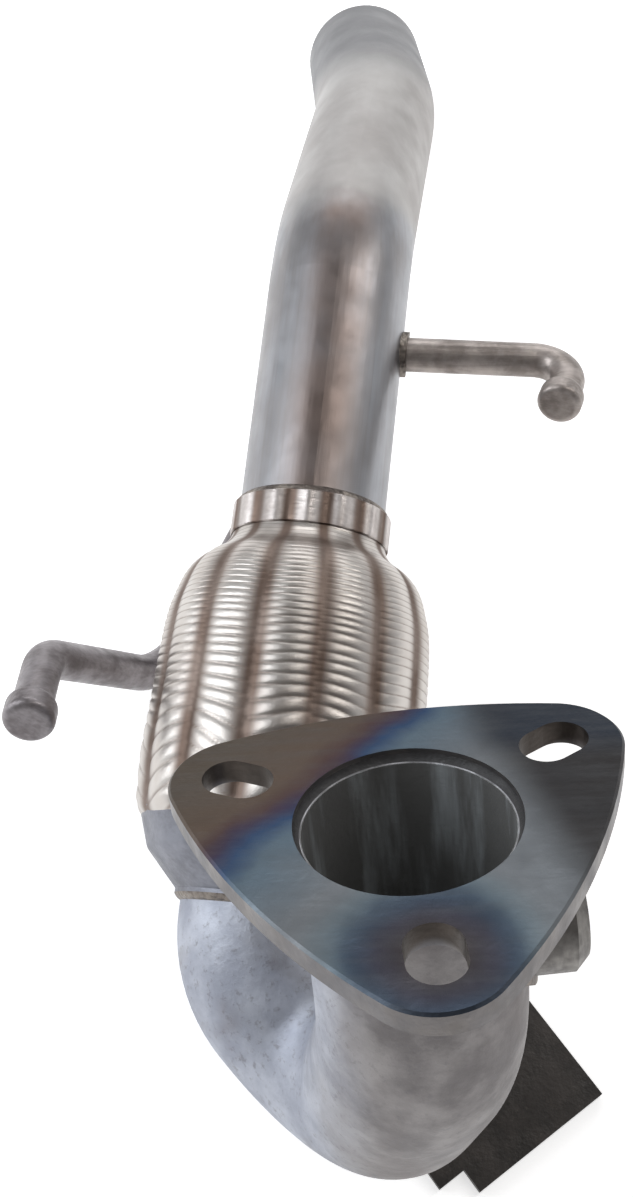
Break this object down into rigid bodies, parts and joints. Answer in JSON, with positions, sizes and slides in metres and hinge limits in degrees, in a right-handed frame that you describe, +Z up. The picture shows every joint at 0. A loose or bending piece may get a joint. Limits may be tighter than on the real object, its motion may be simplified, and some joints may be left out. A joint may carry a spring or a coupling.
{
  "type": "exhaust pipe",
  "caption": "Bent exhaust pipe with a triangular slotted inlet flange, braided flex joint, sensor boss, bent hanger rods and a foot bracket.",
  "frame": {"origin": "centre of the bounding box in X and Y, on the floor it rests on", "axes": "+Z up, +Y from the inlet flange towards the outlet end, +X to the right of the gas flow as seen from above"},
  "size_m": [0.1743, 0.448, 0.1861],
  "materials": {
    "flange_steel": "heat-tinted, blue and straw over grey, satin",
    "tube_steel": "matte mottled light grey",
    "weld_metal": "rippled, heat-darkened",
    "pipe_steel": "satin drawn tube with light handling marks",
    "inner_steel": "plain",
    "cup_steel": "satin pressed sheet",
    "braid_steel": "woven wire, bright on its ridges",
    "rod_steel": "dull grey-brown round bar",
    "boss_steel": "turned, dull",
    "bracket_steel": "near-black, matte"
  },
  "bodies": {
    "root": {"inlet_flange": "flange_steel", "inlet_tube": "tube_steel", "flange_weld": "weld_metal", "flange_inner_weld": "weld_metal", "rear_pipe": "pipe_steel", "flex_bellows": "inner_steel", "flex_liner": "inner_steel", "flex_front_cup": "cup_steel", "flex_rear_ring": "cup_steel", "flex_braid": "braid_steel", "front_neck_weld": "weld_metal", "rear_neck_weld": "weld_metal", "right_hanger_rod": "rod_steel", "left_hanger_rod": "rod_steel", "right_hanger_weld": "weld_metal", "left_hanger_welds": "weld_metal", "sensor_boss": "boss_steel", "sensor_boss_weld": "weld_metal", "foot_bracket": "bracket_steel", "bracket_weld": "weld_metal"}
  },
  "joints": []
}
